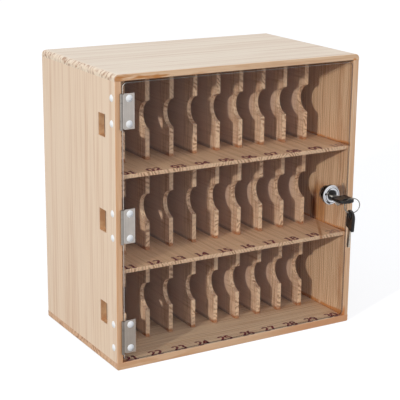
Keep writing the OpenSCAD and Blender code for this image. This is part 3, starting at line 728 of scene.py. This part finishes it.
def turned_chrome(colour):
    """Chrome of the lock, turned on a lathe, with painted reflection and shade: dark bands at the steps of
    the flange, two bright sectors of painted light round it, and a thread with a pitch of 1 mm behind
    the door's face, its grooves painted dark as shade."""
    finish, tree, mm = placed_material("chrome")
    x, y, z = tree.separate(mm)
    aside, up = tree.minus(x, LOCK_X), tree.minus(z, LOCK_Z)
    radius = tree.vector_length(aside, up, 0.0)
    # Painted reflection and shade in bands round the lock's axis
    rings = tree.ramp(tree.over(radius, RINGS_END), *((r / RINGS_END, v) for r, v in PAINTED_FLANGE_BANDS))
    # Painted reflection: brighter towards the up-left, where the light comes from, and the opposite side
    sweep = tree.over(tree.scaled(aside, -0.6, tree.times(up, 0.8)), radius)
    painted_sector = tree.scaled(tree.math("POWER", tree.size(sweep), 1.5), 0.3, 0.78)
    # Painted shade in the thread's grooves, together with a bump
    thread = tree.cycle(y, (0.0, 0.35), (0.3, 1.0), (0.7, 1.0), (1.0, 0.35))
    front = tree.below(y, FRONT_Y - 0.7)
    tone = tree.product(colour, tree.mix(front, thread, tree.product(rings, painted_sector)))
    bump = (thread, tree.scaled(front, -0.5, 0.5), 0.0003)
    tree.surface(tone, tree.scaled(front, -0.28, 0.4), bump, Metallic=1.0)
    return finish


def banded_zinc(colour):
    """Zinc of the nut, near black, with a bright band of painted highlight on the chamfer by the door."""
    finish, tree, mm = placed_material("dark_zinc")
    _, y, _ = tree.separate(mm)
    deep = tree.over(tree.minus(y, FRONT_Y + 3.0), 3.6)
    # Painted highlight: the bright band; before and behind it the nut is near black
    stops = ((0.0, 0.06), (0.3, 0.06), (0.42, 0.95), (0.62, 0.95), (0.72, 0.08), (1.0, 0.08))
    tree.surface(tree.product(colour, tree.ramp(deep, *stops)), 0.35, Metallic=1.0)
    return finish


def moulded(name, colour, roughness, grit, lift, gloss=0.5):
    """Moulded plastic or rubber: one colour with slow tone and a fine grain."""
    finish, tree, mm = placed_material(name)
    skin = tree.spots(mm, grit, 3.0)
    tone = tree.spots(mm, 6.0, 2.0)
    pale = [min(1.0, c * (1 + lift) + warm) for c, warm in zip(colour, (0.006, 0.004, 0.003))]
    more = {"Specular IOR Level": gloss}
    rough = tree.scaled(tone, 0.18, roughness)
    tree.surface(tree.mix(tone, colour, pale), rough, (skin, 0.25, 0.00003), **more)
    return finish


def plated(name, colour, roughness):
    """Bright plating with faint wipe marks."""
    finish, tree, mm = placed_material(name)
    wipe = tree.spots(mm, 3.0, 4.0)
    tone = tree.mix(wipe, [c * 0.9 for c in colour], colour)
    tree.surface(tone, tree.scaled(wipe, 0.1, roughness), (wipe, 0.1, 0.00003), Metallic=1.0)
    return finish


class LOCKER_OT_door(Operator):
    """Makes the door clear, with pale edges"""

    bl_idname = "locker.door"
    bl_label = "Finish the door"

    def execute(self, context):
        dress(("door_panel",), clear_acrylic())
        return {"FINISHED"}


class LOCKER_OT_hinges(Operator):
    """Gives the hinges brushed steel, and the rivets and brads their finishes"""

    bl_idname = "locker.hinges"
    bl_label = "Finish the hinges"

    def execute(self, context):
        fit = context.scene.locker_fittings
        dress((*LEAVES, "hinge_pins"), hinge_steel(fit.steel))
        rivets = [f"{side}_rivet{part}" for side in ("side", "door") for part in ("s", "_caps")]
        dress(rivets, moulded("white_nylon", fit.nylon, 0.42, 0.4, 0.02))
        dress(("back_brads",), brushed_steel("brad_steel", fit.steel, 0, 0.3))
        return {"FINISHED"}


class LOCKER_OT_lock(Operator):
    """Gives the lock, its nut and its cam their metal finishes"""

    bl_idname = "locker.lock"
    bl_label = "Finish the lock"

    def execute(self, context):
        fit = context.scene.locker_fittings
        dress(("lock_body", "plug"), turned_chrome(fit.chrome))
        dress(("lock_gasket",), moulded("black_rubber", linear(*RUBBER), 0.6, 0.3, 0.3))
        dress(("lock_nut",), banded_zinc(linear(*NUT_ZINC)))
        dress(("cam", "cam_screw"), brushed_steel("zinc", linear(*ZINC), 2, 0.35))
        dress(("plug_cover",), moulded("cover_plastic", fit.black, 0.3, 0.3, 0.6, 0.3))
        return {"FINISHED"}


def corner_path(width, low, high, low_r, high_r, steps):
    """The outline of a rectangle with rounded corners, walked anticlockwise at even steps: four arcs
    joined by straight sides. Gives the points and the outward normals."""
    half = width / 2
    corners = (
        (half - low_r, low + low_r, low_r, -90),
        (half - high_r, high - high_r, high_r, 0),
        (-half + high_r, high - high_r, high_r, 90),
        (-half + low_r, low + low_r, low_r, 180),
    )
    parts = []
    for cx, cy, r, start in corners:
        angle = np.radians(start + np.linspace(0, 90, 24))
        normal = np.stack([np.cos(angle), np.sin(angle)], 1)
        parts.append(np.concatenate([np.array([cx, cy]) + r * normal, normal], 1))
    closed = np.concatenate([*parts, parts[0][:1]])
    length = np.append(0, np.cumsum(np.linalg.norm(np.diff(closed[:, :2], axis=0), axis=1)))
    at = np.linspace(0, length[-1], steps, endpoint=False)
    points, normals = np.split(np.stack([np.interp(at, length, part) for part in closed.T], 1), 2, 1)
    return points, normals / np.linalg.norm(normals, axis=1, keepdims=True)


def head_shell(steps=168):
    """A key head as one closed band: each step round the outline has a section that rises over a
    rounded outer edge and a flat rim, drops to the sunk panel, rises to the rim of the hole, rounds
    into the hole and comes back below. Gives the points on a grid of steps by section, in millimetres,
    with the blade's end at Y 0."""
    outline, normal = corner_path(HEAD_W, -HEAD_L, 0.0, HEAD_OUTER_R, HEAD_BLADE_R, steps)
    hole = np.array([0.0, HOLE_INSET - HEAD_L])
    angle = np.arctan2(outline[:, 1] - hole[1], outline[:, 0] - hole[0])
    ray = np.stack([np.cos(angle), np.sin(angle)], 1)
    half, edge, lip = HEAD_T / 2, 0.7, 0.5
    bend = np.radians(np.linspace(0, 90, 7))
    outer = [(0.0, 0.0)]
    outer += [(edge * (1 - math.cos(b)), half - edge + edge * math.sin(b)) for b in bend]
    outer += [(RIM, half), (RIM + 0.25, half - PANEL_DEPTH)]
    inner = [(RIM + 0.25, half - PANEL_DEPTH), (RIM, half)]
    inner += [(lip * (1 - math.cos(b)), half - lip + lip * math.sin(b)) for b in bend[::-1]]
    inner += [(0.0, 0.0)]
    rings = []
    for inset, z in outer:
        rings.append(np.column_stack([outline - normal * inset, np.full(steps, z)]))
    for out, z in inner:
        stretched = ray * (HOLE_R + out) + np.array([HOLE_SPREAD, 0]) * np.tanh(ray[:, :1] * 3)
        rings.append(np.column_stack([hole + stretched, np.full(steps, z)]))
    top = np.stack(rings, 1)
    under = top[:, 1:-1][:, ::-1] * np.array([1, 1, -1])
    return np.concatenate([top, under], 1)


def grid_mesh(name, grid):
    """A mesh of quads over a grid of points, closed round both directions."""
    rows, columns = grid.shape[:2]
    index = np.arange(rows * columns).reshape(rows, columns)
    ahead = np.roll(index, -1, 0)
    faces = np.stack([index, ahead, np.roll(ahead, -1, 1), np.roll(index, -1, 1)], -1).reshape(-1, 4)
    mesh = bpy.data.meshes.new(name)
    mesh.from_pydata(grid.reshape(-1, 3).tolist(), [], faces.tolist())
    mesh.polygons.foreach_set("use_smooth", np.ones(len(faces), bool))
    mesh.update()
    return mesh


def new_object(name, data):
    """An object in the scene's own collection."""
    made = bpy.data.objects.new(name, data)
    bpy.context.scene.collection.objects.link(made)
    return made


def add_piece(name, mesh, finish, body):
    """Puts a mesh into the scene at the origin, riding on a body."""
    piece = new_object(name, mesh)
    mesh.materials.append(finish)
    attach(piece, body)
    return piece


def turned(about, degrees):
    return Matrix.Rotation(math.radians(degrees), 4, about)


def spare_place():
    """Where the spare key hangs from the lowest point of the leaning ring."""
    above = RING_DROP / math.cos(math.radians(RING_LEAN))
    along = RING_SHIFT + math.sqrt(RING_R**2 - above**2)
    hole_y = HEAD_BACK_Y - HEAD_L + HOLE_INSET
    ring = Matrix.Translation((LOCK_X, hole_y, LOCK_Z)) @ turned("Z", RING_YAW) @ turned("X", RING_LEAN)
    ring = ring @ Matrix.Translation((along, 0, -above - RING_R))
    hang = turned("X", SPARE_LEAN - RING_LEAN) @ Matrix.Translation((0, 0, -SPARE_DROP))
    return ring @ hang @ turned("X", -90) @ turned("Y", 90) @ Matrix.Translation((0, HEAD_L - HOLE_INSET, 0))


class LOCKER_OT_keys(Operator):
    """Makes the two moulded key heads and finishes the blades and the ring"""

    bl_idname = "locker.keys"
    bl_label = "Make the keys"

    def execute(self, context):
        fit = context.scene.locker_fittings
        plastic = moulded("black_plastic", fit.black, 0.26, 0.25, 0.9, 0.32)
        level = Matrix.Translation((LOCK_X, HEAD_BACK_Y, LOCK_Z))
        for name, node, body, place in (
            ("key_grip", "key_head", "key", level),
            ("spare_key_grip", "spare_key_head", "spare_key", spare_place()),
        ):
            mesh = grid_mesh(name, head_shell())
            mesh.transform(Matrix.Scale(MM, 4) @ place)
            piece = add_piece(name, mesh, plastic, body)
            piece.modifiers.new("even", "WEIGHTED_NORMAL").keep_sharp = True
            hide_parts(node)
        dress(("key_blade",), brushed_steel("key_steel", linear(*KEY_STEEL), 1, 0.25))
        dress(("spare_key_blade",), brushed_steel("spare_key_steel", linear(*KEY_STEEL), 2, 0.25))
        dress(("key_ring",), plated("ring_steel", linear(*RING_WIRE), 0.2))
        return {"FINISHED"}


def arc(cx, cy, rx, ry, start, end, steps=18):
    """Points along part of an ellipse, in degrees anticlockwise from the right."""
    a = np.radians(np.linspace(start, end, steps))
    return np.stack([cx + rx * np.cos(a), cy + ry * np.sin(a)], 1)


def line(*points):
    """Points along straight strokes, each with a few steps."""
    points = np.array(points, float)
    parts = [a + (b - a) * np.linspace(0, 1, 5)[:, None] for a, b in zip(points, points[1:])]
    return np.concatenate(parts)


def digit_strokes():
    """The strokes of each digit in a cell 0.6 wide and 1 high, as centre lines."""
    join = np.concatenate
    return {
        "0": [arc(0.3, 0.5, 0.23, 0.44, 90, 450, 36)],
        "1": [line((0.14, 0.78), (0.32, 0.92), (0.32, 0.06)), line((0.12, 0.06), (0.52, 0.06))],
        "2": [join([arc(0.3, 0.7, 0.21, 0.23, 165, -35), line((0.46, 0.54), (0.08, 0.07), (0.54, 0.07))])],
        "3": [join([arc(0.28, 0.72, 0.2, 0.21, 155, -80), arc(0.28, 0.29, 0.23, 0.23, 85, -155)])],
        "4": [line((0.44, 0.06), (0.44, 0.93), (0.06, 0.33), (0.57, 0.33))],
        "5": [join([line((0.5, 0.92), (0.16, 0.92), (0.12, 0.55)), arc(0.28, 0.32, 0.24, 0.26, 125, -150)])],
        "6": [join([arc(0.42, 0.42, 0.33, 0.51, 95, 190), arc(0.31, 0.29, 0.21, 0.23, 175, -180, 30)])],
        "7": [line((0.07, 0.92), (0.54, 0.92), (0.24, 0.05))],
        "8": [arc(0.3, 0.71, 0.18, 0.21, 90, 450, 30), arc(0.3, 0.28, 0.22, 0.23, 90, 450, 30)],
        "9": [join([arc(0.29, 0.71, 0.21, 0.22, 0, 360, 30), arc(0.18, 0.56, 0.32, 0.51, 15, -75)])],
    }


def stroke_band(path, width, height):
    """A low band carried along a flat path: at each point the section has two feet and two shoulders
    across the path, and it is wider where the path runs up than where it runs sideways. Gives a grid
    of path points by four."""
    path = path[np.append(True, np.linalg.norm(np.diff(path, axis=0), axis=1) > 1e-6)]
    way = np.gradient(path, axis=0)
    way /= np.linalg.norm(way, axis=1, keepdims=True)
    side = np.stack([-way[:, 1], way[:, 0]], 1)
    half = width / 2 * (0.82 + 0.36 * np.abs(side[:, 0]))[:, None]
    section = ((-1.0, -height), (-0.85, height), (0.85, height), (1.0, -height))
    grid = [np.column_stack([path + side * half * s, np.full(len(path), z)]) for s, z in section]
    return np.stack(grid, 1)


def number_mesh(name, marks):
    """One mesh from the bands of all digits, each band closed by a face at both ends."""
    points, faces = [], []
    start = 0
    for grid in marks:
        rows, columns = grid.shape[:2]
        index = start + np.arange(rows * columns).reshape(rows, columns)
        for k in range(columns):
            a, b = index[:, k], index[:, (k + 1) % columns]
            faces += np.stack([a[:-1], b[:-1], b[1:], a[1:]], 1)[:, ::-1].tolist()
        faces += [index[0].tolist(), index[-1][::-1].tolist()]
        points.append(grid.reshape(-1, 3))
        start += rows * columns
    mesh = bpy.data.meshes.new(name)
    mesh.from_pydata(np.concatenate(points).tolist(), [], faces)
    mesh.update()
    return mesh


def place_centres():
    """The middle of each place in a row, from left to right."""
    divider = FIRST_DIVIDER_X + DIVIDER_PITCH * np.arange(PLACES - 1)
    return (np.array([-INNER_X, *(divider + DIVIDER_T)]) + np.array([*divider, INNER_X])) / 2


def burnt_ink(settings):
    """Dark red-brown of a burnt mark, uneven, and fainter in the last place of the upper rows."""
    finish, tree, mm = placed_material("burnt_number")
    spots = tree.spots(mm, 0.8, 3.0)
    pale = [min(1.0, c * 1.9) for c in settings.number]
    colour = tree.mix(tree.step(spots, 0.4, 0.7), settings.number, pale)
    x, _, z = tree.separate(mm)
    last = tree.times(tree.above(x, INNER_X - DIVIDER_PITCH), tree.above(z, LOW_FOOT_Z))
    colour = tree.mix(tree.times(last, 0.45), colour, settings.sheet)
    tree.surface(colour, tree.scaled(spots, 0.2, 0.6), (spots, 0.3, 0.00005))
    return finish


class LOCKER_OT_numbers(Operator):
    """Burns in the place numbers, from 01 at the upper left to 30 at the lower right"""

    bl_idname = "locker.numbers"
    bl_label = "Burn the numbers"

    def execute(self, context):
        fit = context.scene.locker_fittings
        high, wide = fit.number_height / MM, fit.number_width / MM
        strokes = digit_strokes()
        ink = burnt_ink(context.scene.locker_wood)
        middles = (FRONT_Y + 8.2, SHELF_FRONT_Y + 7.4, SHELF_FRONT_Y + 7.4)
        for row, name in enumerate(ROW_NAMES):
            first = PLACES * (2 - row) + 1
            marks = []
            for place, x in enumerate(place_centres()):
                for slot, digit in enumerate(f"{first + place:02d}"):
                    for path in strokes[digit]:
                        scaled = (path - (0.3, 0.5)) * (wide * 0.42 / 0.5, high)
                        scaled += (x + (slot - 0.5) * wide * 0.54, middles[row])
                        marks.append(stroke_band(scaled, 3.0, 0.07) + (0, 0, FLOOR_Z + ROW_STEP * row))
            mesh = number_mesh(f"{name}_numbers", marks)
            mesh.transform(Matrix.Scale(MM, 4))
            add_piece(f"{name}_numbers", mesh, ink, "cabinet")
        return {"FINISHED"}


def background_share(tree):
    """1 for rays that show the background: from the camera, from gloss and through glass."""
    path = tree.add("ShaderNodeLightPath").outputs
    seen = tree.plus(path["Is Camera Ray"], path["Is Glossy Ray"])
    return tree.plus(seen, path["Is Transmission Ray"], clamp=True)


class LOCKER_OT_stage(Operator):
    """Sets the pale floor, the studio light and the camera"""

    bl_idname = "locker.stage"
    bl_label = "Set the stage"

    def execute(self, context):
        scene = context.scene
        stage = scene.locker_stage
        scene.view_settings.view_transform = "Standard"

        finish, tree = material("pale_floor")
        seen = background_share(tree)
        matt = tree.add("ShaderNodeBsdfDiffuse", {"Color": stage.floor, "Roughness": 1.0})
        glow = tree.add("ShaderNodeEmission", {"Color": (1, 1, 1), "Strength": tree.times(seen, 0.8)})
        both = tree.add("ShaderNodeAddShader", {0: matt.outputs[0], 1: glow.outputs[0]})
        tree.output(both.outputs[0])
        mesh = bpy.data.meshes.new("floor")
        side = 12.0
        corners = [(-side, -side, 0), (side, -side, 0), (side, side, 0), (-side, side, 0)]
        mesh.from_pydata(corners, [], [(0, 1, 2, 3)])
        mesh.materials.append(finish)
        floor = new_object("floor", mesh)
        floor.location.z = -0.0002

        world = bpy.data.worlds.new("studio")
        world.use_nodes = True
        tree = Tree(world.node_tree)
        seen = background_share(tree)
        _, near, rise = tree.separate(tree.add("ShaderNodeTexCoord").outputs["Generated"])
        zenith = tree.math("POWER", tree.math("MAXIMUM", rise, 0.0), 2.0)
        light = tree.scaled(zenith, stage.overhead, stage.sky)
        light = tree.scaled(tree.math("MAXIMUM", tree.times(near, -1.0), 0.0), stage.ahead, light)
        level = tree.plus(tree.times(light, tree.minus(1.0, seen)), seen)
        tint = tree.mix(seen, SKY_TINT, (1, 1, 1))
        sky = tree.add("ShaderNodeBackground", {"Color": tint, "Strength": level})
        tree.output(sky.outputs[0], "World")
        scene.world = world

        lamp = bpy.data.lights.new("key_lamp", "AREA")
        lamp.shape = "DISK"
        lamp.size = 0.1
        lamp.energy = stage.key_power
        lamp.color = LAMP_TINT
        key = new_object("key_lamp", lamp)
        key.location = LAMP_PLACE
        towards = LAMP_AIM - key.location
        key.rotation_euler = towards.to_track_quat("-Z", "Y").to_euler()

        view = bpy.data.cameras.new("camera")
        view.sensor_width = 36.0
        view.lens = CAMERA_LENS
        view.clip_start, view.clip_end = 0.05, 60.0
        scene.camera = new_object("camera", view)
        axes = Matrix((CAMERA_RIGHT, CAMERA_UP, CAMERA_BACK)).transposed()
        scene.camera.matrix_world = Matrix.Translation(CAMERA_PLACE) @ axes.to_4x4()
        return {"FINISHED"}


OPERATORS = (
    LOCKER_OT_wood,
    LOCKER_OT_door,
    LOCKER_OT_hinges,
    LOCKER_OT_lock,
    LOCKER_OT_keys,
    LOCKER_OT_numbers,
    LOCKER_OT_stage,
)
SETTINGS = (
    ("locker_wood", WoodSettings),
    ("locker_fittings", FittingSettings),
    ("locker_stage", StageSettings),
)


class LOCKER_PT_panel(Panel):
    """Lists the settings and the steps of the locker box"""

    bl_idname = "LOCKER_PT_panel"
    bl_label = "Phone Locker Box"
    bl_space_type = "VIEW_3D"
    bl_region_type = "UI"
    bl_category = "Locker"

    def draw(self, context):
        for attribute, group in SETTINGS:
            box = self.layout.box()
            for name in group.__annotations__:
                box.prop(getattr(context.scene, attribute), name)
        for operator in OPERATORS:
            self.layout.operator(operator.bl_idname)


def register():
    for attribute, group in SETTINGS:
        bpy.utils.register_class(group)
        setattr(bpy.types.Scene, attribute, PointerProperty(type=group))
    for cls in (*OPERATORS, LOCKER_PT_panel):
        bpy.utils.register_class(cls)


def unregister():
    for cls in (LOCKER_PT_panel, *reversed(OPERATORS)):
        bpy.utils.unregister_class(cls)
    for attribute, group in reversed(SETTINGS):
        delattr(bpy.types.Scene, attribute)
        bpy.utils.unregister_class(group)


def main():
    register()
    for step in ("wood", "door", "hinges", "lock", "keys", "numbers", "stage"):
        getattr(bpy.ops.locker, step)()


if __name__ == "__main__":
    main()
